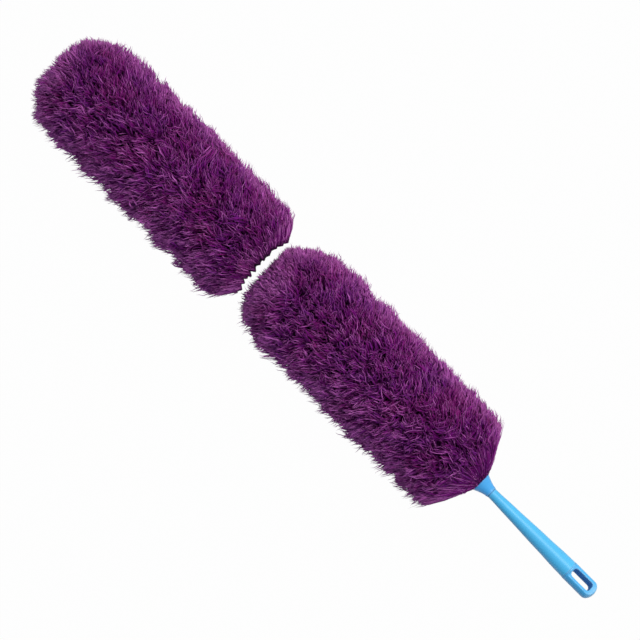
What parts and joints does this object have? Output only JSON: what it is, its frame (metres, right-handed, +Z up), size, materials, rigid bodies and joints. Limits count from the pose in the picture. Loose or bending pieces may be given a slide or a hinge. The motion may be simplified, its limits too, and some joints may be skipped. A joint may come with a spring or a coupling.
{
  "type": "microfibre duster",
  "caption": "Long fluffy microfibre duster: slip-on purple pile head on a core tube, blue tapered handle that unscrews, slotted hanging loop, and a spare head in line.",
  "frame": {"origin": "centre of the bounding box in X and Y, on the plane that the pile rests on", "axes": "+X along the duster's long axis towards the hanging loop, +Z up with the duster lying on its side"},
  "size_m": [0.949, 0.1548, 0.1542],
  "materials": {
    "purple_pile": "matte",
    "purple_backing": "matte",
    "purple_hem": "matte",
    "white_elastic": "matte",
    "blue_plastic": "satin",
    "blue_loop_plastic": "satin",
    "grey_core_plastic": "satin",
    "blue_rubber": "matte",
    "rivet_steel": "satin"
  },
  "bodies": {
    "fitted_head": {"head_pile_bottom": "purple_pile", "head_pile_left": "purple_pile", "head_pile_right": "purple_pile", "head_pile_top": "purple_pile", "head_pile_tip": "purple_pile", "head_backing": "purple_backing", "head_hem": "purple_hem", "head_elastic": "white_elastic"},
    "core": {"neck_collar": "blue_plastic", "core_tube": "grey_core_plastic", "core_tip_cap": "grey_core_plastic", "collar_rivet": "rivet_steel"},
    "washer": {"sealing_washer": "blue_rubber"},
    "grip": {"handle_grip": "blue_plastic", "hang_loop": "blue_loop_plastic"},
    "spare_head": {"spare_pile_bottom": "purple_pile", "spare_pile_left": "purple_pile", "spare_pile_right": "purple_pile", "spare_pile_top": "purple_pile", "spare_pile_tip": "purple_pile", "spare_backing": "purple_backing", "spare_hem": "purple_hem", "spare_elastic": "white_elastic"}
  },
  "joints": [
    {"name": "head_pull_off", "type": "slide", "parent": "fitted_head", "child": "core", "axis": [1, 0, 0], "range_m": [0, 0.37]},
    {"name": "handle_travel", "type": "slide", "parent": "core", "child": "washer", "axis": [1, 0, 0], "range_m": [0, 0.012]},
    {"name": "handle_unscrew", "type": "hinge", "parent": "washer", "child": "grip", "pos_m": [0.2933, 0, 0.07685], "axis": [1, 0, 0], "range_deg": [0, 1440]},
    {"name": "spare_lift", "type": "slide", "parent": "fitted_head", "child": "spare_head", "axis": [0, 0, 1], "range_m": [0, 0.3]}
  ],
  "couplings": [
    {"joint": "handle_unscrew", "follows": "handle_travel", "rad_per_m": 2094.4}
  ]
}
